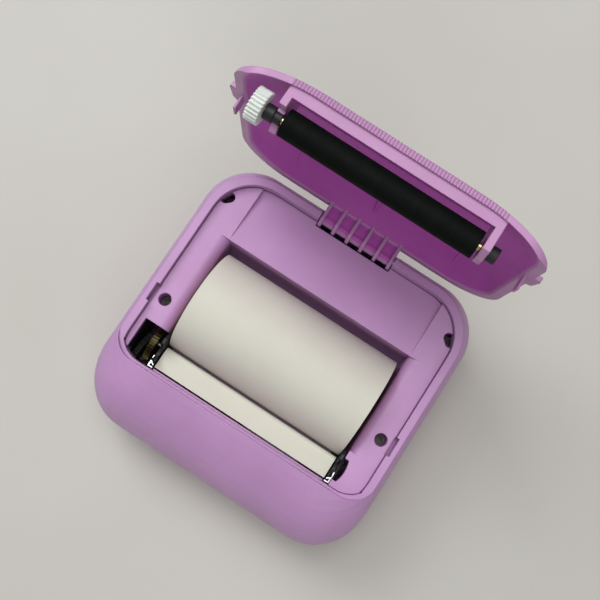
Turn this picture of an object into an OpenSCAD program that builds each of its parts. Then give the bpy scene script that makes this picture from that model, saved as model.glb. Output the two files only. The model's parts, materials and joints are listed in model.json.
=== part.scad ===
// Compact photo printer with a hinged cover, lying on its back with the cover open.
// Millimetres. X to the right, Y to the rear, Z up. The origin is the middle of the
// flat underside. Pieces of the cover are drawn closed and then turned to their rest pose.

/* [Case] */
// Room between the gear cover and the widest side of the case
side_room = 5.9; // [5.4:0.1:8]
// Room between the stepper motor and the wall of the nose
nose_room = 0.9; // [0.5:0.1:3]
// Depth of the case behind the paper bay
rear_run = 23.3; // [22.8:0.1:26]
// Height of the closed cover above the rim
cover_h = 9.5; // [9:0.1:10]
// Room between the full paper roll and the roof of the cover
roof_room = 2.6; // [2.4:0.1:4]
// Height at which the case is widest
mid_z = 16; // [14:0.5:18]
// How far the flat underside stays inside the widest outline
base_inset = 8; // [6:0.5:10]
// Radius of the corners in plan at the widest level
plan_r = 15; // [13:0.5:17]
// Wall of the case and of the cover
shell_wall = 1.6; // [1.4:0.05:1.9]
// Roundness of the sides and the rear, as the exponent of the section curve
side_n = 3.6; // [3.2:0.1:4]
// Roundness of the nose, as the exponent of the section curve
nose_n = 2; // [1.9:0.05:2.1]

/* [Cover] */
// Radius of the front corners of the cover in plan
cover_corner_r = 8; // [7:0.1:9]
// Gap between the closed cover and the case
cover_gap = 0.3; // [0.25:0.05:0.4]
// Angle of the cover when it stands open
cover_open = 90; // [80:1:95]
// Distance of the hinge pin in front of the deepest point of the rear
hinge_inset = 3.1; // [2.9:0.1:3.4]
// Depth of the hinge pin under the rim
hinge_drop = 3.8; // [3.6:0.1:4.2]
// Radius of the hinge pin
hinge_pin_r = 0.8; // [0.7:0.05:1]
// Length of the hinge pin
hinge_pin_len = 33; // [31:0.5:35]
// Width of the hinge arm
arm_w = 24; // [20:0.5:26]
// Thickness of the hinge arm
arm_t = 2; // [1.8:0.1:2.2]
// Number of fins on the hinge arm
fin_count = 6; // [4:1:8]
// Thickness of a fin
fin_t = 1; // [0.8:0.1:1.2]
// Pitch of the tear teeth along the front edge of the cover
tear_pitch = 0.8; // [0.7:0.1:1.2]
// Depth of a tear tooth
tear_depth = 0.35; // [0.25:0.05:0.45]

/* [Deck] */
// Depth of the deck under the rim
deck_drop = 2; // [1.8:0.1:2.4]
// Thickness of the deck plate
deck_t = 1.6; // [1.4:0.1:2]
// Gap between each end of the roll and the side wall of the bay
roll_end_gap = 1.7; // [1.5:0.1:2.5]
// Wall of the paper bay
bay_wall = 1.2; // [1:0.1:1.4]
// Depth from the front edge of the cover to the paper bay
mech_run = 8.25; // [8.1:0.05:9]
// Depth of the rear panel's rear edge under its front edge
panel_fall = 2; // [1:0.1:2.4]
// Radius of the counterbored holes over the frame screws
screw_hole_r = 1.85; // [1.7:0.05:2]
// Radius of a screw shank
screw_r = 0.9; // [0.8:0.05:1]

/* [Paper] */
// Width of the paper
paper_w = 57; // [56:0.5:57.5]
// Radius of the paper roll
roll_r = 15.65; // [14:0.05:15.7]
// Radius of the hole in the roll's core
core_r = 5.6; // [5:0.1:6.4]
// Wall of the roll's cardboard core
core_wall = 1.2; // [1:0.1:1.6]
// Thickness of the paper strip over the print head
strip_t = 0.25; // [0.2:0.05:0.3]

/* [Platen] */
// Radius of the rubber roller
roller_r = 3.43; // [3.2:0.01:3.5]
// Radius of the roller's steel shaft
shaft_r = 1; // [0.9:0.05:1.1]
// Distance of the roller's axis behind the front edge of the cover
platen_back = 5.6; // [5.4:0.1:6]
// Depth of the roller's axis under the rim
platen_drop = 3.2; // [3.1:0.05:3.4]
// Radius of a bushing where it seats in the side cheek
bushing_r = 1.97; // [1.9:0.01:2]

/* [Gears] */
// Module of all gears
gear_m = 0.3; // [0.3:0.01:0.31]
// Teeth of the platen gear
platen_teeth = 26; // [25:1:27]
// Teeth of the drive gear
drive_teeth = 36; // [35:1:37]
// Teeth of the reduction gear's small wheel
small_teeth = 18; // [17:1:19]
// Teeth of the reduction gear's large wheel
large_teeth = 52; // [51:1:53]
// Teeth of the motor pinion
pinion_teeth = 12; // [12:1:13]
// Radius of the stepper motor
motor_r = 7.5; // [7:0.1:7.6]
// Length of the stepper motor
motor_len = 13; // [10:0.5:16]

/* [Print head] */
// Travel of the sprung print head
head_travel = 0.5; // [0.3:0.05:0.6]
// Wire radius of a head spring
spring_wire_r = 0.25; // [0.2:0.05:0.3]
// Mean radius of a head spring
spring_r = 1.8; // [1.5:0.1:2]
// Turns of a head spring
spring_turns = 5; // [4:1:6]

/* [Power] */
// Radius of the power button
button_r = 3.2; // [2.8:0.1:3.6]
// Travel of the power button
button_travel = 0.4; // [0.3:0.05:0.45]
// Width of the battery
battery_w = 50; // [40:1:52]
// Thickness of the battery
battery_t = 10; // [8:0.5:11]

/* [Hidden] */
$fn = 48;
eps = 0.01;

// Clearances
run_gap = 0.05;
frame_fit = 0.12;
// Room between a turning gear and the wall beside its teeth
gear_room = 0.4;
body_gap = 0.3;

// Board under the paper bay, and the roll above it
board_z = shell_wall + 0.6;
board_t = 1.2;
roll_front_gap = 0.85;
roll_rear_gap = 2.6;
roll_z = board_z + board_t + 3.6 + roll_r;

// Heights
total_h = roll_z + roll_r + roof_room + shell_wall;
rim_z = total_h - cover_h;
deck_z = rim_z - deck_drop;
hinge_z = rim_z - hinge_drop;
platen_z = rim_z - platen_drop;

// Widths, from the paper out to the gear cover
bay_half = paper_w / 2 + roll_end_gap;
cheek_in = paper_w / 2 + 0.4;
cheek_out = cheek_in + 0.9;
clip_t = 0.4;
drive_x = bay_half + bay_wall + 0.4;
drive_w = 1.8;
large_x = drive_x + drive_w + 1.3;
large_w = 1.7;
gear_cover_x = large_x + large_w + 0.7;
gear_cover_t = 0.8;
case_w = 2 * (gear_cover_x + gear_cover_t + side_room);

// Gear centres, worked out from the platen gear forward to the motor
tooth_add = 0.85;
tooth_ded = 1.2;
mesh_slack = 0.08;
function gear_dist(a, b) = gear_m * (a + b) / 2 + mesh_slack;
drive_lead = 2;
drive_drop = sqrt(pow(gear_dist(platen_teeth, drive_teeth), 2) - pow(drive_lead, 2));
train_bend = 14;
leg_m = gear_dist(pinion_teeth, large_teeth);
leg_d = gear_dist(small_teeth, drive_teeth);
span_md = leg_m * cos(train_bend) + sqrt(pow(leg_d, 2) - pow(leg_m * sin(train_bend), 2));
motor_z = mid_z - 2;
drive_z = platen_z - drive_drop;
motor_lead = sqrt(pow(span_md, 2) - pow(drive_z - motor_z, 2));

// Depths, from the tip of the nose to the rear
nose_run = shell_wall + nose_room + motor_r + motor_lead - drive_lead - platen_back;
case_d = nose_run + mech_run + roll_front_gap + 2 * roll_r + roll_rear_gap + rear_run;
front_y = -case_d / 2;
rear_y = case_d / 2;
cover_y = front_y + nose_run;
platen_y = cover_y + platen_back;
drive_y = platen_y + drive_lead;
motor_y = drive_y - motor_lead;
bay_front = cover_y + mech_run;
roll_y = bay_front + roll_front_gap + roll_r;
bay_rear = roll_y + roll_r + roll_rear_gap;
hinge_y = rear_y - hinge_inset;

// Hinge
knuckle_r = 1.7;
notch_half = arm_w / 2 + body_gap;
notch_z = hinge_z - knuckle_r - body_gap - 1;
boss_len = 5;
fin_front = knuckle_r + 1;

// ---------- outline of the pillow-shaped housing ----------

corner_steps = 12;
low_rings = 6;
high_rings = 16;
nose_centre = 2;
low_n = 2.2;
crown_u = 0.999;

function lame(a, u, n) = a * pow(max(0, 1 - pow(u, n)), 1 / n);
// Share of the full reach that is left at height z, for a skin set in by off
function high_u(z, off) = (z - mid_z) / (total_h - off - mid_z);
function low_u(z, off) = (mid_z - z) / (mid_z - off);
function low_inset(z, off) = base_inset * (1 - lame(1, low_u(z, off), low_n));
function half_at(z, off) = z >= mid_z
    ? lame(case_w / 2 - off, high_u(z, off), side_n)
    : case_w / 2 - off - low_inset(z, off);
function rear_at(z, off) = z >= mid_z
    ? lame(case_d / 2 - off, high_u(z, off), side_n)
    : case_d / 2 - off - low_inset(z, off);
function front_at(z, off) = z >= mid_z
    ? -nose_centre - lame(case_d / 2 - nose_centre - off, high_u(z, off), nose_n)
    : -case_d / 2 + off + low_inset(z, off);
function corner_at(z, off) = min(
    (plan_r - off) * pow(half_at(z, off) / (case_w / 2 - off), 0.25),
    half_at(z, off) - eps,
    (rear_at(z, off) - front_at(z, off)) / 2 - eps);

// One level of the pillow: four arcs joined by straight sides
function level(z, off) =
    let (
        w = half_at(z, off),
        r = corner_at(z, off),
        xs = [w - r, r - w, r - w, w - r],
        ys = [rear_at(z, off) - r, rear_at(z, off) - r, front_at(z, off) + r, front_at(z, off) + r]
    )
    [for (q = [0:3], i = [0:corner_steps])
        let (t = 90 * (q + i / corner_steps))
        [xs[q] + r * cos(t), ys[q] + r * sin(t), z]];

// Heights of the levels, closer together where the skin turns
function low_levels(off) = [for (i = [0:low_rings - 1])
    mid_z - (mid_z - off) * cos(90 * i / low_rings)];
function high_levels(off, z0) = [for (i = [0:high_rings])
    let (u0 = high_u(z0, off), s = 1 - pow(1 - i / high_rings, 2))
    mid_z + (total_h - off - mid_z) * (u0 + (crown_u - u0) * s)];

module loft(rings) {
    n = len(rings[0]);
    m = len(rings);
    points = [for (ring = rings) each ring];
    sides = [for (j = [0:m - 2], i = [0:n - 1])
        let (a = j * n + i, b = j * n + (i + 1) % n, c = b + n, d = a + n)
        each [[a, c, b], [a, d, c]]];
    floor_face = [for (i = [0:n - 1]) i];
    top_face = [for (i = [0:n - 1]) m * n - 1 - i];
    polyhedron(points = points, faces = concat([floor_face], sides, [top_face]));
}

// The whole pillow, set in by off all round
module pillow(off) {
    loft([for (z = concat(low_levels(off), high_levels(off, mid_z))) level(z, off)]);
}

// The part of the pillow above height z0
module pillow_top(off, z0) {
    loft([for (z = high_levels(off, z0)) level(z, off)]);
}

// Space of the cover in plan: everything behind the front line, with rounded front corners
module cover_plan(gap, r) {
    reach = half_at(rim_z, 0) + 0.2 - gap;
    y0 = cover_y + gap;
    union() {
        translate([-case_w, y0 + r])
            square([2 * case_w, case_d]);
        translate([r - reach, y0])
            square([2 * (reach - r), r + eps]);
        for (s = [-1, 1])
            translate([s * (reach - r), y0 + r])
                circle(r);
    }
}

// ---------- helpers ----------

// Extrudes a profile drawn in Y and Z along X, from x0 over len
module along_x(x0, len) {
    translate([x0, 0, 0])
        rotate([90, 0, 90])
            linear_extrude(len)
                children();
}

module rod_x(r, x0, len, y, z) {
    translate([x0, y, z])
        rotate([0, 90, 0])
            cylinder(r = r, h = len);
}

module box_at(x0, x1, y0, y1, z0, z1) {
    translate([x0, y0, z0])
        cube([x1 - x0, y1 - y0, z1 - z0]);
}

// Turns a piece drawn for the closed cover to the open rest pose
module opened() {
    translate([0, hinge_y, hinge_z])
        rotate([-cover_open, 0, 0])
            translate([0, -hinge_y, -hinge_z])
                children();
}

module slot_profile(w, h) {
    for (s = [-1, 1])
        translate([s * (w - h) / 2, 0])
            circle(h / 2);
    square([w - h, h], center = true);
}

// ---------- gears ----------

// Angle of a tooth on the second gear that meshes with the first across direction d
function mesh_angle(t1, n1, n2, d) = d + 180 + 360 / n2 * ((d - t1) * n1 / 360 + 0.5);

module gear_profile(teeth, tooth_angle) {
    pitch_r = gear_m * teeth / 2;
    step = 360 / teeth;
    polygon([for (i = [0:teeth - 1], k = [0:3])
        let (
            a = tooth_angle + i * step + [-0.31, -0.13, 0.13, 0.31][k] * step,
            r = pitch_r + gear_m * (k == 0 || k == 3 ? -tooth_ded : tooth_add)
        )
        r * [cos(a), sin(a)]]);
}

module gear(teeth, tooth_angle, bore, x0, len, y, z) {
    translate([0, y, z])
        along_x(x0, len)
            difference() {
                gear_profile(teeth, tooth_angle);
                circle(bore);
            }
}

span_angle = atan2(drive_z - motor_z, drive_y - motor_y);
reduction_y = motor_y + leg_m * cos(span_angle - train_bend);
reduction_z = motor_z + leg_m * sin(span_angle - train_bend);

// Tooth angles, in mesh with the cover closed
platen_to_drive = atan2(drive_z - platen_z, drive_y - platen_y);
platen_angle = platen_to_drive;
drive_angle = mesh_angle(platen_angle, platen_teeth, drive_teeth, platen_to_drive);
drive_to_reduction = atan2(reduction_z - drive_z, reduction_y - drive_y);
small_angle = mesh_angle(drive_angle, drive_teeth, small_teeth, drive_to_reduction);
large_angle = small_angle;
reduction_to_motor = atan2(motor_z - reduction_z, motor_y - reduction_y);
pinion_angle = mesh_angle(large_angle, large_teeth, pinion_teeth, reduction_to_motor);

platen_gear_x = cheek_out + clip_t + body_gap;
platen_gear_w = 3.3;
axle_r = 0.6;
motor_boss_r = 1.2;

// ---------- outer case ----------

frame_posts = [[bay_half + 5.6, roll_y - 5.75], [bay_half + 7.1, rear_y - 13.4]];
post_r = 2.5;
screw_seat = 1.6;
rear_hole_len = 4.3;
rear_hole_w = 3.1;
rear_hole_turn = -42;
post_top = deck_z - 9;
screw_head_r = 1.4;
screw_len = 8;
screw_head_t = 1.3;
button_y = cover_y + 9;
button_z = mid_z - 1;
light_y = button_y - 7;
light_r = 0.8;
board_half = bay_half + 0.8;
board_y0 = front_y + 12.3;
board_y1 = rear_y - 10.3;
usb_x = board_half - 7;
usb_w = 9;
usb_h = 3.2;
usb_z = board_z + board_t + usb_h / 2;
slot_x = half_at(rim_z, 0) - 2;
slot_w = 1.2;
slot_y0 = roll_y - 8.55;
slot_y1 = slot_y0 + 5.6;
slot_deep = 2.2;
catch_x = frame_posts[0][0] + post_r + frame_fit;
pad_r = 2;
lip_t = 1.2;
lip_slope = 0.7;
lip_corner_r = 8.6;
lip_low_z = rim_z - 6;
step_half = paper_w / 2 - 0.2;
step_h = 2;
step_out = 0.5;
board_pads = [[4 - board_half, board_y0 + 3], [board_half - 4, board_y0 + 3], [4 - board_half, board_y1 - 3],
    [board_half - 19, board_y1 - 3]];

// Inner wall under the front rim. It stands back from the rim as a narrow ledge, wider at the corners
module front_lip() {
    translate([0, 0, lip_low_z])
        linear_extrude(total_h - lip_low_z)
            difference() {
                intersection() {
                    cover_plan(-lip_t, cover_corner_r + lip_t);
                    translate([-case_w, front_y])
                        square([2 * case_w, nose_run + lip_corner_r + lip_slope]);
                }
                cover_plan(lip_slope, lip_corner_r);
            }
}

// Upright wall inside the side and rear rim, which the deck drops into
module rim_lip() {
    z0 = deck_z - panel_fall - deck_t - 1;
    translate([0, 0, z0])
        linear_extrude(total_h - z0)
            intersection() {
                difference() {
                    level_shape(rim_z, shell_wall - lip_t);
                    level_shape(rim_z, shell_wall);
                }
                translate([-case_w, cover_y + lip_corner_r / 2])
                    square([2 * case_w, case_d]);
            }
}

module case_inner_features() {
    front_lip();
    rim_lip();
    // Step under the front rim, just in front of the paper's end
    box_at(-step_half, step_half, cover_y - lip_t, cover_y + lip_slope, lip_low_z - step_h, lip_low_z + eps);
    box_at(-step_half, step_half, cover_y - lip_t, cover_y + lip_slope + step_out, lip_low_z - step_h,
        lip_low_z - body_gap - 0.1);
    // Catches for the cover's snap hooks
    for (s = [-1, 1])
        box_at(s > 0 ? catch_x : -half_at(mid_z, shell_wall), s > 0 ? half_at(mid_z, shell_wall) : -catch_x,
            slot_y0 - 0.8, slot_y1 + 0.8, deck_z - slot_deep - 1, deck_z - slot_deep);
    for (p = frame_posts, s = [-1, 1])
        translate([s * p[0], p[1], 0])
            cylinder(r = post_r, h = post_top);
    for (p = board_pads)
        translate([p[0], p[1], 0])
            cylinder(r = pad_r, h = board_z);
    // Bosses that carry the ends of the hinge pin
    for (s = [-1, 1])
        rod_x(knuckle_r, s > 0 ? notch_half : -notch_half - boss_len, boss_len, hinge_y, hinge_z);
}

module outer_case() {
    color([0.72, 0.56, 0.80])
    difference() {
        pillow(0);
        difference() {
            pillow(shell_wall);
            case_inner_features();
        }
        // Everything above the rim belongs to the cover, except over the nose
        translate([0, 0, rim_z])
            linear_extrude(total_h)
                cover_plan(0, cover_corner_r);
        // Notch in the rear wall for the hinge arm
        box_at(-notch_half, notch_half, hinge_y - 4, rear_y + 1, notch_z, rim_z + 1);
        rod_x(hinge_pin_r, -hinge_pin_len / 2, hinge_pin_len, hinge_y, hinge_z);
        // Screw holes in the posts
        for (p = frame_posts, s = [-1, 1])
            translate([s * p[0], p[1], post_top + screw_seat - screw_len - 0.5])
                cylinder(r = screw_r, h = screw_len + 1);
        // Slots for the cover's snap hooks
        for (s = [-1, 1])
            box_at(s * slot_x - slot_w / 2, s * slot_x + slot_w / 2, slot_y0, slot_y1,
                deck_z - slot_deep, rim_z + 1);
        rod_x(button_r + body_gap, case_w / 2 - 6, 8, button_y, button_z);
        rod_x(light_r, case_w / 2 - 6, 8, light_y, button_z);
        // Opening for the charging socket
        translate([usb_x, rear_y - 12, usb_z])
            rotate([-90, 0, 0])
                linear_extrude(16)
                    slot_profile(usb_w + 0.5, usb_h + 0.5);
    }
}

// ---------- inner frame: deck, rear panel and paper bay in one moulding ----------

roll_gap = 0.4;
bay_arc_r = (bay_rear - bay_front) / 2;
bay_mid = (bay_rear + bay_front) / 2;
bay_arc_z = roll_z + sqrt(pow(bay_arc_r - roll_r - roll_gap, 2) - pow(bay_mid - roll_y, 2));
bay_lip_z = rim_z - 14.7;
opening_low_z = rim_z - 21.5;
edge_r = 3;
gear_open = [-gear_cover_x, cover_y, 0.5 - paper_w / 2, bay_front + 3.65];
bearing_open = [cheek_in, platen_y - 2.9, cheek_in + 3.2, platen_y + 3.8];

// Section of the paper bay: a half-round floor under two upright walls, open at the top
module bay_profile(grow, top) {
    r = bay_arc_r + grow;
    translate([bay_mid, bay_arc_z]) {
        intersection() {
            circle(r, $fn = 64);
            translate([-r, -r])
                square([2 * r, r + eps]);
        }
        translate([-r, 0])
            square([2 * r, top - bay_arc_z]);
    }
}

module level_shape(z, off) {
    polygon([for (p = level(z, off)) [p[0], p[1]]]);
}

// The deck drops in through the rim, so it stays inside the rim's inner edge
module deck_outline() {
    intersection() {
        level_shape(rim_z, shell_wall + frame_fit);
        cover_plan(lip_slope + frame_fit, lip_corner_r - frame_fit);
    }
}

module bearing_cut() {
    x0 = bearing_open[0];
    y0 = bearing_open[1];
    x1 = bearing_open[2];
    y1 = bearing_open[3];
    translate([x0 - 2, y0])
        square([3, y1 - y0 + 2.6]);
    intersection() {
        translate([x0 - 2, y0])
            square([x1 - x0 + 2, y1 - y0]);
        translate([x1 - 9, (y0 + y1) / 2])
            circle(9);
    }
}

module inner_frame() {
    panel_rear = rear_at(rim_z, shell_wall) - frame_fit - 0.05;
    color([0.70, 0.53, 0.78])
    difference() {
        union() {
            translate([0, 0, deck_z - deck_t])
                linear_extrude(deck_t)
                    deck_outline();
            along_x(-bay_half - bay_wall, 2 * (bay_half + bay_wall))
                bay_profile(bay_wall, deck_z);
            // Sleeves that stand on the posts of the case
            translate([0, 0, post_top])
                linear_extrude(deck_z - post_top - deck_t + eps)
                    intersection() {
                        for (p = frame_posts, s = [-1, 1])
                            translate([s * p[0], p[1]])
                                circle(post_r);
                        deck_outline();
                    }
            // Side walls of the sunken rear panel
            intersection() {
                box_at(-bay_half - bay_wall, bay_half + bay_wall, bay_rear, panel_rear,
                    deck_z - panel_fall - deck_t, deck_z - deck_t + eps);
                linear_extrude(rim_z)
                    deck_outline();
            }
        }
        along_x(-bay_half, 2 * bay_half)
            bay_profile(0, deck_z + 1);
        box_at(-bay_half, bay_half, cover_y - 1, bay_front + 1, bay_lip_z, deck_z + 1);
        // Rear panel falls towards the hinge
        along_x(-bay_half, 2 * bay_half)
            polygon([[bay_rear - eps, deck_z + 1], [bay_rear - eps, deck_z],
                [panel_rear + 4, deck_z - panel_fall], [panel_rear + 4, deck_z + 1]]);
        along_x(-bay_half + 1, 2 * (bay_half - 1))
            polygon([[bay_rear + bay_wall, deck_z - deck_t], [panel_rear + 4, deck_z - panel_fall - deck_t],
                [panel_rear + 4, deck_z - panel_fall - 3 * deck_t], [bay_rear + bay_wall, deck_z - 3 * deck_t]]);
        // Cut back where the hinge arm swings and round the bosses of the hinge pin
        box_at(-notch_half, notch_half, hinge_y - fin_front - 0.35, rear_y, 0, deck_z + 1);
        box_at(-notch_half - boss_len - 0.3, notch_half + boss_len + 0.3, hinge_y - knuckle_r - 0.15, rear_y,
            0, deck_z + 1);
        box_at(gear_open[0], gear_open[2], gear_open[1], gear_open[3], opening_low_z, deck_z + 1);
        translate([0, 0, opening_low_z])
            linear_extrude(deck_z)
                bearing_cut();
        // Rounded inner edges of the two side strips
        for (s = [-1, 1])
            scale([s, 1, 1])
                translate([0, bay_rear, 0])
                    rotate([90, 0, 0])
                        linear_extrude(bay_rear - gear_open[3])
                            difference() {
                                translate([bay_half - 1, deck_z - edge_r])
                                    square([edge_r + 1, edge_r + 1]);
                                translate([bay_half + edge_r, deck_z - edge_r])
                                    circle(edge_r);
                            }
        // Screw holes with counterbores
        for (p = frame_posts, s = [-1, 1])
            translate([s * p[0], p[1], post_top - 1])
                cylinder(r = screw_r + 0.15, h = deck_z);
        for (s = [-1, 1]) {
            translate([s * frame_posts[0][0], frame_posts[0][1], post_top + screw_seat])
                cylinder(r = screw_hole_r, h = deck_z);
            translate([s * frame_posts[1][0], frame_posts[1][1], post_top + screw_seat])
                rotate([0, 0, s * rear_hole_turn])
                    linear_extrude(deck_z)
                        slot_profile(rear_hole_len, rear_hole_w);
        }
        for (s = [-1, 1])
            box_at(s * slot_x - slot_w / 2, s * slot_x + slot_w / 2, slot_y0, slot_y1,
                deck_z - slot_deep, rim_z + 1);
    }
}

module frame_screws() {
    color([0.22, 0.21, 0.21])
    for (p = frame_posts, s = [-1, 1])
        translate([s * p[0], p[1], post_top + screw_seat])
            difference() {
                union() {
                    translate([0, 0, -screw_len])
                        cylinder(r = screw_r, h = screw_len + eps);
                    cylinder(r = screw_head_r, h = screw_head_t);
                }
                // Cross recess
                for (a = [0, 90])
                    rotate([0, 0, a])
                        translate([-0.9, -0.22, screw_head_t - 0.7])
                            cube([1.8, 0.44, 1]);
            }
}

// ---------- print mechanism ----------

head_y0 = cover_y + 2;
head_y1 = bay_front - bay_wall + 0.9;
strip_top = platen_z - roller_r - body_gap;
head_top = strip_top - strip_t - 0.05;
ceramic_t = 0.8;
sink_t = 2.4;
head_half = paper_w / 2 - 0.6;
spring_x = 15;
base_z = platen_z - 16.8;
base_t = 2;
base_y0 = cover_y + 1;
base_y1 = bay_front - bay_wall - 0.05;
cheek_top = deck_z;
clip_z0 = platen_z - 4.6;
clip_z1 = platen_z - 2.4;
clip_y0 = cover_y + 1.1;
clip_y1 = platen_y - 1.1;
shoulder_y = platen_y - bushing_r - 0.7;

module cheek_profile() {
    r = bushing_r + 0.08;
    difference() {
        polygon([[base_y0, base_z], [base_y1, base_z], [base_y1, bay_lip_z + 0.3],
            [gear_open[3] - 0.4, bay_lip_z + 0.3], [gear_open[3] - 0.4, cheek_top - 1.5],
            [gear_open[3] - 1.9, cheek_top], [shoulder_y, cheek_top], [shoulder_y, clip_z0],
            [base_y0, clip_z0]]);
        translate([platen_y, platen_z])
            circle(r);
        translate([platen_y - r, platen_z])
            square([2 * r, 10]);
        translate([platen_y, cheek_top])
            polygon([[-r - 0.8, eps], [-r + eps, -1.2], [r - eps, -1.2], [r + 0.8, eps]]);
    }
}

// Side plate on the gear side, which also carries the motor and the gear axles
module gear_plate_profile() {
    plate_top = drive_z + 1.6;
    translate([motor_y, motor_z])
        circle(motor_r - 0.5);
    polygon([[motor_y, motor_z - 4], [base_y1, motor_z - 4], [base_y1, bay_lip_z + 0.3],
        [gear_open[3] - 0.4, bay_lip_z + 0.3], [gear_open[3] - 0.4, plate_top], [motor_y + 3, plate_top - 2],
        [motor_y, motor_z + motor_r - 0.5]]);
}

module mechanism_frame() {
    color([0.10, 0.10, 0.11])
    difference() {
        union() {
            for (s = [-1, 1])
                along_x(s > 0 ? cheek_in : -cheek_out, cheek_out - cheek_in)
                    cheek_profile();
            along_x(-cheek_out, cheek_out - cheek_in)
                gear_plate_profile();
            box_at(-cheek_out, cheek_out, base_y0, base_y1, base_z, base_z + base_t);
            // Foot of the right cheek, seen through the bearing's cut-out
            box_at(cheek_out - eps, cheek_out + 1.3, base_y0 + 2, gear_open[3] - 2.8, base_z, clip_z0 - 1.2);
            // Spring cups
            for (s = [-1, 1])
                translate([s * spring_x, (head_y0 + head_y1) / 2, base_z + base_t - eps])
                    difference() {
                        cylinder(r = spring_r + 1.1, h = 2);
                        cylinder(r = spring_r + 0.5, h = 3);
                    }
        }
        rod_x(axle_r, -cheek_out - 1, 4, drive_y, drive_z);
        rod_x(axle_r, -cheek_out - 1, 4, reduction_y, reduction_z);
        rod_x(motor_boss_r, -cheek_out - 1, 4, motor_y, motor_z);
    }
}

// Plate over the gears with a wall behind them
module gear_cover() {
    y1 = drive_y + gear_m * (drive_teeth / 2 + 1) + gear_room + gear_cover_t;
    color([0.09, 0.09, 0.10])
    box_at(-gear_cover_x - eps, -bay_half - bay_wall - 0.4, y1 - gear_cover_t, y1, mid_z - 2, deck_z - deck_t - 0.4);
    color([0.09, 0.09, 0.10])
    along_x(-gear_cover_x - gear_cover_t, gear_cover_t)
        difference() {
            union() {
                polygon([[reduction_y, mid_z - 2], [y1, mid_z - 2], [y1, deck_z - deck_t - 0.4],
                    [y1 - 5, deck_z - deck_t - 0.4], [reduction_y, mid_z + 7]]);
                translate([reduction_y, reduction_z])
                    circle(gear_m * large_teeth / 2 + 1.2);
                translate([motor_y, motor_z])
                    circle(3.6);
                translate([motor_y, motor_z - 3.6])
                    square([reduction_y - motor_y, 7.2]);
            }
            translate([reduction_y, reduction_z])
                circle(axle_r);
        }
}

module print_head() {
    color([0.20, 0.17, 0.16]) {
        along_x(-head_half, 2 * head_half)
            polygon([[head_y0, head_top - ceramic_t], [head_y1, head_top - ceramic_t],
                [head_y1 - 0.9, head_top - 0.05], [head_y0, head_top - 0.05]]);
        // Raised line of heating dots
        box_at(3.9 - head_half, head_half - 3.9, platen_y - 0.6, platen_y + 0.6, head_top - 0.06, head_top);
    }
}

module heat_sink() {
    z1 = head_top - ceramic_t;
    color([0.75, 0.76, 0.78])
    difference() {
        box_at(-head_half, head_half, head_y0, head_y1, z1 - sink_t, z1);
        for (i = [-4:4])
            box_at(i * 5.5 - 0.8, i * 5.5 + 0.8, head_y0 - 1, head_y0 + 1.4, z1 - sink_t - 1, z1 - 0.8);
    }
}

spring_z0 = base_z + base_t;
spring_z1 = head_top - ceramic_t - sink_t;
spring_sides = 6;
spring_steps = 8;

// Closed end turns and open turns between them
function spring_point(i, n) =
    let (
        t = i / n,
        climb = t < 0.14 ? t * 0.55 : t > 0.86 ? 1 - (1 - t) * 0.55 : 0.077 + (t - 0.14) * 0.846 / 0.72,
        low = spring_z0 + spring_wire_r + 0.02,
        high = spring_z1 - spring_wire_r - 0.02
    )
    [spring_r * cos(360 * spring_turns * t), spring_r * sin(360 * spring_turns * t), low + (high - low) * climb];

module tube(path, r, sides) {
    n = len(path);
    rings = [for (i = [0:n - 1])
        let (
            a = path[max(0, i - 1)],
            b = path[min(n - 1, i + 1)],
            d = (b - a) / norm(b - a),
            u = cross(d, [0, 0, 1]) / norm(cross(d, [0, 0, 1])),
            v = cross(u, d)
        )
        [for (k = [0:sides - 1]) path[i] + r * (u * cos(360 * k / sides) + v * sin(360 * k / sides))]];
    points = [for (ring = rings) each ring];
    sides_f = [for (j = [0:n - 2], k = [0:sides - 1])
        let (a = j * sides + k, b = j * sides + (k + 1) % sides)
        each [[a, b, b + sides], [a, b + sides, a + sides]]];
    start = [for (k = [0:sides - 1]) sides - 1 - k];
    end = [for (k = [0:sides - 1]) (n - 1) * sides + k];
    polyhedron(points = points, faces = concat([start], sides_f, [end]));
}

spring_n = spring_turns * spring_steps;
spring_path = [for (i = [0:spring_n]) spring_point(i, spring_n)];
// Least distance between points that lie at least half a turn apart along the wire
spring_gap = min([for (i = [0:spring_n], j = [0:spring_n])
    if (j - i > spring_steps / 2) norm(spring_path[i] - spring_path[j])]) - 2 * spring_wire_r;
echo(str("Least gap of a head spring to itself: ", spring_gap, " mm"));

module head_springs() {
    color([0.80, 0.80, 0.82])
    for (s = [-1, 1])
        translate([s * spring_x, (head_y0 + head_y1) / 2, 0])
            tube(spring_path, spring_wire_r, spring_sides);
}

// Flat cable from the circuit board up to the print head
module head_ribbon_cable() {
    y1 = base_y0 - 0.7;
    z1 = head_top - ceramic_t - sink_t - head_travel - 0.5;
    t = 0.3;
    color([0.24, 0.17, 0.12])
    along_x(2, 18)
        polygon([[y1 - 3, board_z + board_t], [y1 - 3, board_z + board_t + t], [y1 - t, board_z + board_t + 3],
            [y1 - t, z1], [y1 + 1.9, z1], [y1 + 1.9, z1 - t], [y1, z1 - t],
            [y1, board_z + board_t + 3 - t], [y1 - 3 + t, board_z + board_t]]);
}

// Bent steel clips on the shoulders of the cheeks: a bar along the cheek's outer face
// with its rear end folded back inwards
module clip_plan() {
    t = 0.3;
    polygon([[clip_t, clip_y0], [clip_t, clip_y1], [0, clip_y1], [0, shoulder_y - 0.1],
        [-1, shoulder_y - 0.8], [-0.85, shoulder_y - 0.8 - t], [0, shoulder_y - 0.1 - 1.3 * t],
        [0, clip_y0 + t], [-1.1, clip_y0 + t], [-1.1, clip_y0]]);
}

module bushing_clips() {
    color([0.85, 0.85, 0.87])
    for (s = [-1, 1])
        scale([s, 1, 1])
            translate([cheek_out, 0, clip_z0])
                linear_extrude(clip_z1 - clip_z0)
                    clip_plan();
}

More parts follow.
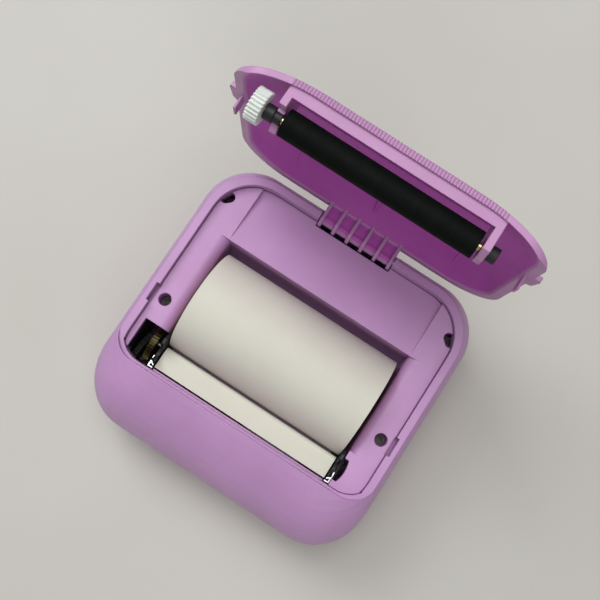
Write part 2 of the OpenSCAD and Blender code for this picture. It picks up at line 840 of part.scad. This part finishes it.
module stepper_motor() {
    x0 = -cheek_in;
    color([0.62, 0.63, 0.66]) {
        rod_x(motor_r, x0, motor_len, motor_y, motor_z);
        rod_x(motor_r - 2, x0 + motor_len - eps, 0.8, motor_y, motor_z);
        // Bearing boss round the shaft
        difference() {
            rod_x(motor_boss_r - 0.05, x0 - 0.6, 0.6 + eps, motor_y, motor_z);
            rod_x(0.55, x0 - 0.7, 0.9, motor_y, motor_z);
        }
    }
}

module motor_pinion() {
    color([0.80, 0.65, 0.32]) {
        gear(pinion_teeth, pinion_angle, 0.3, -large_x - large_w - 0.2, large_w + 0.4, motor_y, motor_z);
        rod_x(0.5, -large_x - large_w - 0.4, large_x + large_w + 0.4 - cheek_in, motor_y, motor_z);
    }
}

module reduction_gear() {
    bore = axle_r + run_gap;
    color([0.13, 0.13, 0.14]) {
        gear(large_teeth, large_angle, bore, -large_x - large_w, large_w, reduction_y, reduction_z);
        gear(small_teeth, small_angle, bore, -drive_x - drive_w, drive_w, reduction_y, reduction_z);
        difference() {
            rod_x(1.8, -large_x - eps, large_x - drive_x - drive_w + 2 * eps, reduction_y, reduction_z);
            rod_x(bore, -large_x - 1, large_x, reduction_y, reduction_z);
        }
    }
}

module drive_gear() {
    color([0.30, 0.27, 0.18])
    gear(drive_teeth, drive_angle, axle_r + run_gap, -drive_x - drive_w, drive_w, drive_y, drive_z);
}

module gear_axles() {
    color([0.80, 0.80, 0.82]) {
        rod_x(axle_r, -drive_x - drive_w - 0.4, drive_x + drive_w + 0.4 - cheek_in, drive_y, drive_z);
        rod_x(axle_r, -gear_cover_x - gear_cover_t, gear_cover_x + gear_cover_t - cheek_in,
            reduction_y, reduction_z);
    }
}

// ---------- electronics ----------

module circuit_board() {
    color([0.10, 0.36, 0.20])
    difference() {
        union() {
            box_at(-board_half, board_half, board_y0, board_y1, board_z, board_z + board_t);
            box_at(usb_x - usb_w / 2 - 0.5, usb_x + usb_w / 2 + 0.5, board_y1 - 1, board_y1 + 2.5,
                board_z, board_z + board_t);
        }
        for (p = board_pads)
            translate([p[0], p[1], 0])
                cylinder(r = 0.8, h = 9);
    }
    color([0.12, 0.12, 0.13]) {
        box_at(-6, 4, -2, 8, board_z + board_t - eps, board_z + board_t + 0.9);
        box_at(10, 15, 2, 7, board_z + board_t - eps, board_z + board_t + 0.8);
        box_at(-20, -15, 4, 10, board_z + board_t - eps, board_z + board_t + 0.8);
        box_at(-24, -10, board_y1 - 8, board_y1 - 2, board_z + board_t - eps, board_z + board_t + 1);
    }
}

switch_t = 3;
plunger_t = 0.6;
button_in = case_w / 2 - 4.4;

module button_board() {
    x1 = button_in - button_travel - body_gap - plunger_t;
    color([0.10, 0.36, 0.20])
    box_at(x1 - switch_t - 1, x1 - switch_t, light_y - 3, button_y + 4.5, button_z - 7, button_z + 7);
    color([0.16, 0.16, 0.17]) {
        box_at(x1 - switch_t - eps, x1, button_y - 2.6, button_y + 2.6, button_z - 2.6, button_z + 2.6);
        rod_x(1.2, x1 - eps, plunger_t, button_y, button_z);
    }
}

module battery() {
    r = 1.5;
    y0 = bay_rear + bay_wall + 0.05;
    z0 = board_z + board_t + 1.6;
    battery_h = deck_z - panel_fall - deck_t - 2.4 - z0;
    color([0.30, 0.42, 0.62])
    translate([-battery_w / 2, 0, 0])
        along_x(0, battery_w)
            hull()
                for (y = [y0 + r, y0 + battery_t - r], z = [z0 + r, z0 + battery_h - r])
                    translate([y, z])
                        circle(r, $fn = 24);
}

module usb_socket() {
    y1 = rear_at(usb_z, shell_wall) + 0.6;
    color([0.78, 0.79, 0.80])
    translate([usb_x, y1 - 7.5, usb_z])
        rotate([-90, 0, 0]) {
            linear_extrude(7.5)
                difference() {
                    slot_profile(usb_w, usb_h);
                    slot_profile(usb_w - 0.6, usb_h - 0.6);
                }
            linear_extrude(1)
                slot_profile(usb_w - 0.5, usb_h - 0.5);
            // Contact tongue
            linear_extrude(6.4)
                square([6.6, 0.7], center = true);
        }
}

module status_light() {
    color([0.92, 0.92, 0.95])
    rod_x(light_r - 0.02, half_at(button_z, shell_wall) - 1.2, shell_wall + 1, light_y, button_z);
}

module power_button() {
    x1 = case_w / 2 - 0.1;
    color([0.75, 0.60, 0.82])
    translate([0, button_y, button_z])
        rotate([0, 90, 0])
            rotate_extrude()
                polygon([[0, button_in], [button_r + 0.9, button_in], [button_r + 0.9, button_in + 1],
                    [button_r, button_in + 1], [button_r, x1 - 0.5], [button_r - 0.5, x1],
                    [button_r - 1.4, x1 - 0.25], [0, x1 - 0.3]]);
}

module hinge_pin() {
    color([0.78, 0.78, 0.80])
    rod_x(hinge_pin_r, -hinge_pin_len / 2, hinge_pin_len, hinge_y, hinge_z);
}

// ---------- paper ----------

module paper_roll() {
    color([0.90, 0.89, 0.82])
    difference() {
        rod_x(roll_r, -paper_w / 2, paper_w, roll_y, roll_z);
        rod_x(core_r + core_wall, -paper_w / 2 - 1, paper_w + 2, roll_y, roll_z);
    }
}

module roll_core() {
    color([0.70, 0.60, 0.48])
    difference() {
        rod_x(core_r + core_wall, -paper_w / 2, paper_w, roll_y, roll_z);
        rod_x(core_r, -paper_w / 2 - 1, paper_w + 2, roll_y, roll_z);
    }
}

// Free end of the paper: up beside the roll, over the print head, torn off in front
module paper_strip() {
    back = head_y1 + 0.15;
    front = head_y0 - 0.3;
    bend_r = 1.4;
    drop = 4.8;
    half = paper_w / 2 - 0.1;
    color([0.92, 0.91, 0.84])
    along_x(-half, 2 * half)
        difference() {
            union() {
                translate([front, strip_top - strip_t])
                    square([back + strip_t - bend_r - front, strip_t]);
                translate([back + strip_t - bend_r, strip_top - bend_r])
                    circle(bend_r);
                translate([back, strip_top - drop])
                    square([strip_t, drop - bend_r]);
            }
            translate([back + strip_t - bend_r, strip_top - bend_r])
                circle(bend_r - strip_t);
            translate([back + strip_t - 3 * bend_r, strip_top - 2 * bend_r - 1])
                square([2 * bend_r, 2 * bend_r + 1 - strip_t]);
            translate([back - bend_r, strip_top - 2 * bend_r - 1])
                square([bend_r, bend_r + 1]);
        }
}

// ---------- cover ----------

leg_out = paper_w / 2 - 0.6;
leg_in = leg_out - 1.8;
roller_half = leg_in - 0.9;
tear_half = leg_out - 0.3;
bracket_y0 = cover_y + lip_slope + 0.4;
bracket_t = 1.5;
bracket_z = rim_z + 1;
leg_low_z = rim_z - 6;
roll_clear = 0.7;
sleeve_r = 1.5;
bushing_end = platen_gear_x - body_gap;
tab_y0 = slot_y0 - 0.8;
tab_y1 = slot_y1 + 2.2;
tab_t = 1.3;
rib_t = 0.8;

// Side view of a leg. The right one closes round the bushing. The left one is open in front
// and below, so the bushing snaps in behind a sloping finger.
module leg_profile(open_leg) {
    top = rim_z + 1;
    y0 = bracket_y0;
    difference() {
        if (open_leg)
            polygon([[y0, top], [y0, platen_z + 1.7], [platen_y - sleeve_r + 0.2, platen_z + 1.7],
                [platen_y - sleeve_r + 0.2, platen_z], [platen_y + 0.3, platen_z - 0.6],
                [platen_y + 1.2, platen_z - 1.3], [platen_y + 2.6, leg_low_z], [platen_y + 3.4, leg_low_z],
                [platen_y + 8.4, top - 3], [platen_y + 8.4, top]]);
        else
            polygon([[y0, top], [y0, platen_z - 1.2], [y0 + 4.5, leg_low_z], [platen_y + 3, leg_low_z],
                [platen_y + 8.4, platen_z], [platen_y + 8.4, top]]);
        translate([platen_y, platen_z])
            circle(sleeve_r + run_gap);
        // The legs stay clear of a full roll
        translate([roll_y, roll_z])
            circle(roll_r + roll_clear);
    }
}

module arm_profile() {
    difference() {
        union() {
            translate([hinge_y, hinge_z])
                circle(knuckle_r);
            translate([hinge_y - 1.5, hinge_z])
                square([arm_t, rim_z + cover_gap + shell_wall - hinge_z]);
        }
        translate([hinge_y, hinge_z])
            circle(hinge_pin_r + run_gap);
    }
}

module cover_fin(x) {
    difference() {
        along_x(x - fin_t / 2, fin_t)
            union() {
                translate([hinge_y - fin_front, hinge_z])
                    square([fin_front - 1.4, rim_z + 2.8 - hinge_z]);
                translate([hinge_y, hinge_z])
                    circle(fin_front);
            }
        rod_x(hinge_pin_r + run_gap, x - 2, 4, hinge_y, hinge_z);
    }
}

module cover_body() {
    z0 = rim_z + cover_gap;
    intersection() {
        difference() {
            pillow_top(0, z0);
            difference() {
                pillow_top(shell_wall, z0 - 1);
                // Front wall and legs of the roller bracket
                box_at(-leg_out, leg_out, bracket_y0, bracket_y0 + bracket_t, bracket_z, total_h);
                for (s = [-1, 1])
                    difference() {
                        box_at(s > 0 ? leg_in : -leg_out, s > 0 ? leg_out : -leg_in, bracket_y0,
                            platen_y + 8.4, z0, total_h);
                        rod_x(roll_r + roll_clear, s > 0 ? leg_in - 1 : -leg_out - 1, leg_out - leg_in + 2,
                            roll_y, roll_z);
                    }
                // Small stiffening ribs on the floor of the cover
                for (x = [-leg_in, 0, leg_in])
                    cover_rib(x);
            }
        }
        linear_extrude(total_h)
            cover_plan(cover_gap, cover_corner_r - cover_gap);
    }
}

// Low rib that follows the inner skin of the cover near its rear
module cover_rib(x) {
    along_x(x - rib_t / 2, rib_t)
        polygon([[rear_y - 18.3, total_h], [rear_y - 18.3, total_h - 3.9], [rear_y - 12.3, total_h - 4.9],
            [rear_y - 10.3, total_h - 5.6], [rear_y - 10.3, total_h]]);
}

module cover() {
    y0 = cover_y + cover_gap;
    teeth = floor(2 * tear_half / tear_pitch);
    color([0.60, 0.40, 0.66])
    opened()
        difference() {
            union() {
                cover_body();
                for (s = [-1, 1])
                    along_x(s > 0 ? leg_in : -leg_out, leg_out - leg_in)
                        leg_profile(s < 0);
                along_x(-arm_w / 2, arm_w)
                    arm_profile();
                for (i = [0:fin_count - 1])
                    cover_fin((i - (fin_count - 1) / 2) * (arm_w - fin_t) / (fin_count - 1));
                // Thumb tabs and snap hooks on the two sides
                for (s = [-1, 1])
                    scale([s, 1, 1]) {
                        translate([0, 0, rim_z + cover_gap])
                            linear_extrude(tab_t)
                                polygon([[half_at(rim_z, 0) - 1.4, tab_y0], [case_w / 2 - 1.4, tab_y0],
                                    [case_w / 2 - 1, tab_y0 + 1], [case_w / 2 - 1.6, tab_y1 - 2],
                                    [half_at(rim_z, 0) - 1.4, tab_y1]]);
                        box_at(slot_x - 0.3, slot_x + 0.3, slot_y0 + 0.6, slot_y1 - 0.6,
                            deck_z - 1.5, rim_z + cover_gap + 1.4);
                    }
            }
            // Tear teeth along the front edge
            translate([0, 0, rim_z])
                linear_extrude(total_h)
                    polygon(concat([[-tear_half, y0 - 1]],
                        [for (i = [0:teeth - 1], k = [0:1])
                            [-tear_half + (i + k / 2) * 2 * tear_half / teeth, y0 + k * tear_depth]],
                        [[tear_half, y0], [tear_half, y0 - 1]]));
        }
}

module roller_bushings() {
    color([0.08, 0.08, 0.09])
    opened()
        for (s = [-1, 1])
            scale([s, 1, 1])
                difference() {
                    union() {
                        rod_x(bushing_r, leg_out + 0.05, bushing_end - leg_out - 0.05, platen_y, platen_z);
                        rod_x(sleeve_r, leg_in - 0.1, leg_out - leg_in + 0.2, platen_y, platen_z);
                    }
                    rod_x(shaft_r + run_gap, leg_in - 2, s < 0 ? 9 : bushing_end - 0.4 - leg_in + 2,
                        platen_y, platen_z);
                }
}

module platen_roller() {
    color([0.09, 0.10, 0.10])
    opened()
        difference() {
            rod_x(roller_r, -roller_half, 2 * roller_half, platen_y, platen_z);
            rod_x(shaft_r, -roller_half - 1, 2 * roller_half + 2, platen_y, platen_z);
        }
}

module platen_shaft() {
    color([0.80, 0.76, 0.66])
    opened()
        rod_x(shaft_r, -platen_gear_x - platen_gear_w, platen_gear_x + platen_gear_w + bushing_end - 0.8,
            platen_y, platen_z);
}

module platen_gear() {
    color([0.90, 0.93, 0.90])
    opened()
        gear(platen_teeth, platen_angle, shaft_r, -platen_gear_x - platen_gear_w, platen_gear_w,
            platen_y, platen_z);
}

outer_case();
inner_frame();
frame_screws();
mechanism_frame();
gear_cover();
print_head();
heat_sink();
head_springs();
head_ribbon_cable();
bushing_clips();
stepper_motor();
motor_pinion();
reduction_gear();
drive_gear();
gear_axles();
circuit_board();
button_board();
battery();
usb_socket();
status_light();
power_button();
hinge_pin();
paper_roll();
roll_core();
paper_strip();
cover();
roller_bushings();
platen_roller();
platen_shaft();
platen_gear();
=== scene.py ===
import json

import bpy
from mathutils import Matrix, Vector


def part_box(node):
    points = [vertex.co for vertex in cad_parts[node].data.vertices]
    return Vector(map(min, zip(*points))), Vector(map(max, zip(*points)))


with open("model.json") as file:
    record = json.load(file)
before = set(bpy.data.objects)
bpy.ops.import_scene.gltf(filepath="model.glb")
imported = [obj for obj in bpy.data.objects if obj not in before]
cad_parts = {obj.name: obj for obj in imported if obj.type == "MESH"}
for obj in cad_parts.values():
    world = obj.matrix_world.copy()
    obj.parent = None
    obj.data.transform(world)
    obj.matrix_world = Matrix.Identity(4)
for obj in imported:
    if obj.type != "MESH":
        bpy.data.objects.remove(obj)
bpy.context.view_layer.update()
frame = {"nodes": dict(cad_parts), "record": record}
NODES = frame["nodes"]

# ---------- places on the part that materials change at, in metres, cover open ----------

# Rear of the closed nose, the depth over which its rounding fades in behind it, and where
# the rear corners begin along Y and X and end along Z
NOSE_Y = -0.03
NOSE_FADE = 0.004
REAR_Y = (0.018, 0.022)
REAR_X = (0.024, 0.028)
REAR_TOP_Z = (0.027, 0.030)
# Plane of the cover's rim, top face of its hinge arm and line of the hinge, which bound the cover's
# painted shade
RIM_Y = 0.0433
ARM_Z = 0.0307
HINGE_Y = 0.0392

# Range of a noise factor that most of its values lie in
NOISE_LOW = 0.3
NOISE_HIGH = 0.7
# Radius that edges are shaded round over, and the wider one that hides the shell's facets
EDGE_ROUND = 0.0004
SHELL_ROUND = 0.0024
EDGE_SAMPLES = 6


# ---------- materials ----------

def srgb(r, g, b):
    """Colour written as 0 to 255 display values, turned to linear light."""
    def lin(c):
        c /= 255
        return c / 12.92 if c <= 0.04045 else ((c + 0.055) / 1.055) ** 2.4
    return (lin(r), lin(g), lin(b), 1)


def tint(colour, k):
    """The colour made k times as light."""
    return tuple(min(1, v * k) for v in colour[:3]) + (1,)


class Shader:
    """One material: a Principled shader and the nodes that feed it, in object space."""

    def __init__(self, name, **sockets):
        self.mat = bpy.data.materials.new(name)
        self.mat.use_nodes = True
        self.tree = self.mat.node_tree
        self.tree.nodes.clear()
        out = self.add("ShaderNodeOutputMaterial")
        self.bsdf = self.add("ShaderNodeBsdfPrincipled")
        self.link(self.bsdf.outputs[0], out.inputs["Surface"])
        for key, value in sockets.items():
            self.bsdf.inputs[key.replace("_", " ")].default_value = value
        self.coord = self.add("ShaderNodeTexCoord").outputs["Object"]

    def add(self, kind, **props):
        n = self.tree.nodes.new(kind)
        for key, value in props.items():
            setattr(n, key, value)
        return n

    def link(self, a, b):
        self.tree.links.new(a, b)

    def feed(self, socket, value):
        """Set a socket to a plain value, or link another node's output to it."""
        if isinstance(value, (int, float, tuple)):
            socket.default_value = value
        else:
            self.link(value, socket)

    def stretched(self, scale):
        """Object coordinates scaled along X, Y and Z."""
        m = self.add("ShaderNodeMapping")
        self.link(self.coord, m.inputs["Vector"])
        m.inputs["Scale"].default_value = scale
        return m.outputs[0]

    def split(self, vector):
        """The X, Y and Z of a vector."""
        n = self.add("ShaderNodeSeparateXYZ")
        self.link(vector, n.inputs[0])
        return n.outputs

    def noise(self, scale, detail=3, rough=0.5, vector=None):
        n = self.add("ShaderNodeTexNoise")
        n.inputs["Scale"].default_value = scale
        n.inputs["Detail"].default_value = detail
        n.inputs["Roughness"].default_value = rough
        self.link(vector or self.coord, n.inputs["Vector"])
        return n.outputs["Fac"]

    def tones(self, fac, low, high):
        """Colours from low to high over the middle range of a noise."""
        r = self.add("ShaderNodeValToRGB")
        for el, pos, col in zip(r.color_ramp.elements, (NOISE_LOW, NOISE_HIGH), (low, high)):
            el.position = pos
            el.color = col
        self.link(fac, r.inputs[0])
        return r.outputs[0]

    def remap(self, value, a, b, c, d):
        """c where value is a, d where it is b, straight between and held beyond."""
        n = self.add("ShaderNodeMapRange")
        self.link(value, n.inputs["Value"])
        for key, v in zip(("From Min", "From Max", "To Min", "To Max"), (a, b, c, d)):
            n.inputs[key].default_value = v
        return n.outputs[0]

    def vary(self, fac, low, high):
        """Numbers from low to high over the middle range of a noise."""
        return self.remap(fac, NOISE_LOW, NOISE_HIGH, low, high)

    def math(self, op, a, b=None):
        n = self.add("ShaderNodeMath", operation=op)
        self.feed(n.inputs[0], a)
        if b is not None:
            self.feed(n.inputs[1], b)
        return n.outputs[0]

    def mix(self, fac, a, b):
        n = self.add("ShaderNodeMix", data_type="RGBA")
        for socket, value in ((n.inputs[0], fac), (n.inputs[6], a), (n.inputs[7], b)):
            self.feed(socket, value)
        return n.outputs[2]

    def rounded(self, radius):
        """Normal as if each edge were rounded over radius."""
        n = self.add("ShaderNodeBevel", samples=EDGE_SAMPLES)
        self.feed(n.inputs["Radius"], radius)
        return n.outputs[0]

    def bump(self, height, strength, distance, normal=None):
        n = self.add("ShaderNodeBump")
        n.inputs["Strength"].default_value = strength
        n.inputs["Distance"].default_value = distance
        self.link(height, n.inputs["Height"])
        if normal:
            self.link(normal, n.inputs["Normal"])
        self.link(n.outputs[0], self.bsdf.inputs["Normal"])

    def colour(self, value):
        self.link(value, self.bsdf.inputs["Base Color"])

    def rough(self, value):
        self.link(value, self.bsdf.inputs["Roughness"])


def shell_radius(s):
    """Wide rounding on the nose and the rear corners, where no detail lies, and narrow elsewhere."""
    x, y, z = s.split(s.coord)
    front = s.remap(y, NOSE_Y + NOSE_FADE, NOSE_Y, 0, 1)
    rear = s.math("MULTIPLY", s.remap(y, *REAR_Y, 0, 1), s.remap(s.math("ABSOLUTE", x), *REAR_X, 0, 1))
    rear = s.math("MULTIPLY", rear, s.remap(z, *REAR_TOP_Z, 1, 0))
    return s.remap(s.math("MAXIMUM", front, rear), 0, 1, EDGE_ROUND, SHELL_ROUND)


def painted_shade_mask(s):
    """Mask of painted shade: one within the cover, on what looks down when it is shut, and on its hinge
    arm.
    """
    _, ny, nz = s.split(s.add("ShaderNodeTexCoord").outputs["Normal"])
    _, y, z = s.split(s.coord)
    facing_in = s.remap(ny, -0.15, -0.5, 0, 1)
    inner = s.math("MULTIPLY", facing_in, s.remap(y, RIM_Y + 0.0003, RIM_Y + 0.0007, 0, 1))
    on_arm = s.remap(s.math("ABSOLUTE", s.math("SUBTRACT", z, ARM_Z)), 0.0004, 0.0006, 1, 0)
    behind = s.remap(y, HINGE_Y - 0.0012, HINGE_Y - 0.0008, 0, 1)
    facing_up = s.remap(nz, 0.5, 0.8, 0, 1)
    arm = s.math("MULTIPLY", facing_up, s.math("MULTIPLY", on_arm, behind))
    return s.math("MAXIMUM", inner, arm)


def moulded(name, base, rough=0.42, grain=0.25, spread=0.05, coat=0.0, painted_shade=None, shell=False):
    """Moulded plastic: eroded-mould grain, slow colour drift, faint handling marks, soft edges.

    The colour given for the cover's hollow is painted shade: a deeper colour painted there and on its
    hinge arm, standing in for the shade and the light passed between its walls. shell says that the
    material is on the faceted outer case.
    """
    s = Shader(name, IOR=1.47, Coat_Weight=coat, Coat_Roughness=0.25, Specular_IOR_Level=0.5)
    tone = s.tones(s.noise(55, 3, 0.55), tint(base, 1 - spread), tint(base, 1 + spread))
    if painted_shade:
        # painted shade: a deeper colour over the cover's hollow and hinge arm, where shade falls
        tone = s.mix(painted_shade_mask(s), tone, painted_shade)
    marks = s.remap(s.noise(420, 4, 0.6), 0.62, 0.8, 0, 0.10)
    s.colour(s.mix(marks, tone, tint(base, 1.25)))
    s.rough(s.vary(s.noise(160, 4, 0.6), rough - 0.05, rough + 0.07))
    s.bump(s.noise(5200, 2, 0.5), grain, 0.00003, s.rounded(shell_radius(s) if shell else EDGE_ROUND))
    return s.mat


def metal(name, base, rough=0.3, stretch=(40, 900, 900)):
    """Drawn or turned metal with fine streaks along one direction."""
    s = Shader(name, Metallic=1.0)
    streak = s.noise(1, 4, 0.6, s.stretched(stretch))
    s.colour(s.tones(streak, tint(base, 0.82), tint(base, 1.08)))
    s.rough(s.vary(streak, rough - 0.08, rough + 0.1))
    s.bump(streak, 0.2, 0.00002)
    return s.mat


def wound_layers(s, centre):
    """Mask of a roll's flat ends, and the colour of the paper's edges round the centre there."""
    _, y, z = s.split(s.coord)
    dy = s.math("SUBTRACT", y, centre[0])
    dz = s.math("SUBTRACT", z, centre[1])
    radius = s.math("SQRT", s.math("ADD", s.math("MULTIPLY", dy, dy), s.math("MULTIPLY", dz, dz)))
    ring = s.add("ShaderNodeTexNoise", noise_dimensions="1D")
    s.link(s.math("MULTIPLY", radius, 5200), ring.inputs["W"])
    ring.inputs["Scale"].default_value = 1
    ring.inputs["Detail"].default_value = 4
    layers = s.tones(ring.outputs["Fac"], srgb(176, 150, 138), srgb(214, 196, 184))
    nx = s.split(s.add("ShaderNodeNewGeometry").outputs["True Normal"])[0]
    return s.remap(s.math("ABSOLUTE", nx), 0.3, 0.6, 0, 1), layers


def paper(name, base, centre=None):
    """Coated paper: fibre flecks and a slow ripple, with the wound layers on a roll's ends."""
    s = Shader(name, IOR=1.4)
    fibre = s.noise(1, 5, 0.7, s.stretched((900, 2600, 2600)))
    cloud = s.noise(38, 4, 0.6)
    face = s.mix(s.vary(cloud, 0, 1), tint(base, 0.965), tint(base, 1.02))
    face = s.mix(s.remap(fibre, 0.55, 0.75, 0, 0.25), face, tint(base, 0.9))
    if centre:
        end, layers = wound_layers(s, centre)
        face = s.mix(end, face, layers)
    s.colour(face)
    s.rough(s.vary(fibre, 0.46, 0.6))
    ripple = s.noise(70, 2, 0.5, s.stretched((0.25, 1, 1)))
    s.bump(s.math("ADD", s.math("MULTIPLY", ripple, 3.0), s.math("MULTIPLY", fibre, 0.1)), 0.35, 0.0002)
    return s.mat


def rubber(name):
    """Ground rubber of the platen: near black with faint turning rings."""
    s = Shader(name, IOR=1.5, Specular_IOR_Level=0.06)
    rings = s.noise(1, 3, 0.6, s.stretched((5200, 60, 60)))
    dust = s.noise(300, 5, 0.7)
    base = s.tones(rings, srgb(8, 12, 9), srgb(14, 18, 15))
    s.colour(s.mix(s.remap(dust, 0.68, 0.85, 0, 0.15), base, srgb(48, 54, 50)))
    s.rough(s.vary(dust, 0.5, 0.7))
    s.bump(rings, 0.3, 0.00002)
    return s.mat


def board(name):
    """Solder mask over copper tracks."""
    s = Shader(name, IOR=1.5, Coat_Weight=0.4, Coat_Roughness=0.15)
    cell = s.add("ShaderNodeTexVoronoi", feature="DISTANCE_TO_EDGE", distance="MANHATTAN")
    cell.inputs["Scale"].default_value = 420
    s.link(s.coord, cell.inputs["Vector"])
    track = s.remap(cell.outputs["Distance"], 0.02, 0.05, 1, 0)
    s.colour(s.mix(track, srgb(20, 78, 44), srgb(44, 118, 66)))
    s.rough(s.vary(s.noise(300), 0.3, 0.42))
    s.bump(track, 0.3, 0.00003)
    return s.mat


ROLL_LOW, ROLL_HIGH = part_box("paper_roll")
ROLL_CENTRE = ((ROLL_LOW[1] + ROLL_HIGH[1]) / 2, (ROLL_LOW[2] + ROLL_HIGH[2]) / 2)
TURNED = (900, 60, 60)

BY_SLOT = {
    "case_plastic": moulded("case_plastic", srgb(187, 143, 189), shell=True),
    # Cover: one plastic with the case, its base a little deeper and pinker as slight painted shade; its
    # hollow and hinge arm take painted shade
    "cover_plastic": moulded("cover_plastic", srgb(186, 137, 181), painted_shade=srgb(182, 84, 176)),
    "black_plastic": moulded("black_plastic", srgb(26, 27, 29), 0.5, 0.4, 0.15),
    "white_plastic": moulded("white_plastic", srgb(226, 232, 226), 0.45),
    "lens": moulded("lens", srgb(232, 232, 236), 0.2, 0.05, 0.02, 0.6),
    "steel": metal("steel", srgb(205, 205, 210), 0.26),
    "dark_steel": metal("dark_steel", srgb(60, 58, 58), 0.4),
    # bronze: darker than bare bronze, as painted shade for the shade the part sits in
    "bronze": metal("bronze", srgb(92, 82, 56), 0.5, TURNED),
    "motor_steel": metal("motor_steel", srgb(160, 162, 166), 0.38),
    "aluminium": metal("aluminium", srgb(196, 198, 202), 0.35),
    "brass": metal("brass", srgb(196, 158, 92), 0.32, TURNED),
    "ceramic": moulded("ceramic", srgb(52, 44, 42), 0.22, 0.1, 0.12, 0.5),
    # ribbon: darkened so that it reads as the shade in the gap beside the head, partly painted shade
    "ribbon": moulded("ribbon", srgb(62, 48, 38), 0.3, 0.1, 0.08, 0.3),
    "battery_wrap": moulded("battery_wrap", srgb(76, 104, 152), 0.42, 0.3, 0.06),
    "card": paper("card", srgb(160, 136, 108)),
    "paper": paper("strip_paper", srgb(218, 219, 201)),
    "board": board("board"),
    "roller_rubber": rubber("roller_rubber"),
}
# Pieces whose finish differs a little from the rest of their slot
BY_NODE = {
    "paper_roll": paper("roll_paper", srgb(210, 209, 194), ROLL_CENTRE),
    "platen_shaft": metal("shaft_steel", srgb(226, 206, 150), 0.22),
}
SLOT_OF = {p["node"]: p["material_slot"] for p in frame["record"]["subparts"]}
for node, obj in NODES.items():
    for ms in obj.material_slots:
        ms.material = BY_NODE.get(node, BY_SLOT[SLOT_OF[node]])

# ---------- camera, fitted to the photograph ----------

RIGHT = Vector((0.83934, 0.54221, 0.03888))
DOWN = Vector((0.54241, -0.83065, -0.12578))
AHEAD = Vector((-0.03589, 0.12666, -0.99130))
CAM_AT = (0.01032, -0.01567, 0.27303)

cam_data = bpy.data.cameras.new("camera")
cam = bpy.data.objects.new("camera", cam_data)
bpy.context.collection.objects.link(cam)
cam.matrix_world = Matrix.Translation(CAM_AT) @ Matrix((RIGHT, -DOWN, -AHEAD)).transposed().to_4x4()
cam_data.sensor_width = 36
cam_data.lens = 52.23
cam_data.shift_x = -0.0277
cam_data.shift_y = 0.0195
cam_data.clip_start = 0.005
cam_data.clip_end = 20
bpy.context.scene.camera = cam

# ---------- floor and light ----------

bpy.ops.mesh.primitive_plane_add(size=4, location=(0, 0, 0))
floor = bpy.context.object
floor.name = "floor"
floor_shader = Shader("floor", Roughness=0.7)
floor_shader.colour(floor_shader.tones(floor_shader.noise(9), srgb(192, 190, 181), srgb(199, 197, 189)))
floor.data.materials.append(floor_shader.mat)

world = bpy.data.worlds.new("world")
bpy.context.scene.world = world
world.use_nodes = True
sky = world.node_tree.nodes["Background"]
sky.inputs["Color"].default_value = (0.93, 0.95, 1.0, 1)
sky.inputs["Strength"].default_value = 0.27


def lamp(name, place, aim, side, power, colour):
    """Square soft light at place that looks at aim."""
    data = bpy.data.lights.new(name, "AREA")
    data.shape = "SQUARE"
    data.size = side
    data.energy = power
    data.color = colour
    ob = bpy.data.objects.new(name, data)
    bpy.context.collection.objects.link(ob)
    ob.location = place
    ob.rotation_euler = (Vector(aim) - Vector(place)).to_track_quat("-Z", "Y").to_euler()


lamp("key", (-0.62, 0.30, 0.72), (0, 0, 0.02), 0.5, 4.4, (0.96, 0.97, 1.0))
lamp("fill", (0.45, -0.55, 0.70), (0, 0, 0.02), 0.6, 1.5, (1.0, 0.96, 0.95))
lamp("top", (-0.1, 0.15, 1.1), (0, 0, 0), 0.7, 5.4, (1.0, 0.99, 0.98))

bpy.context.scene.view_settings.view_transform = "Standard"
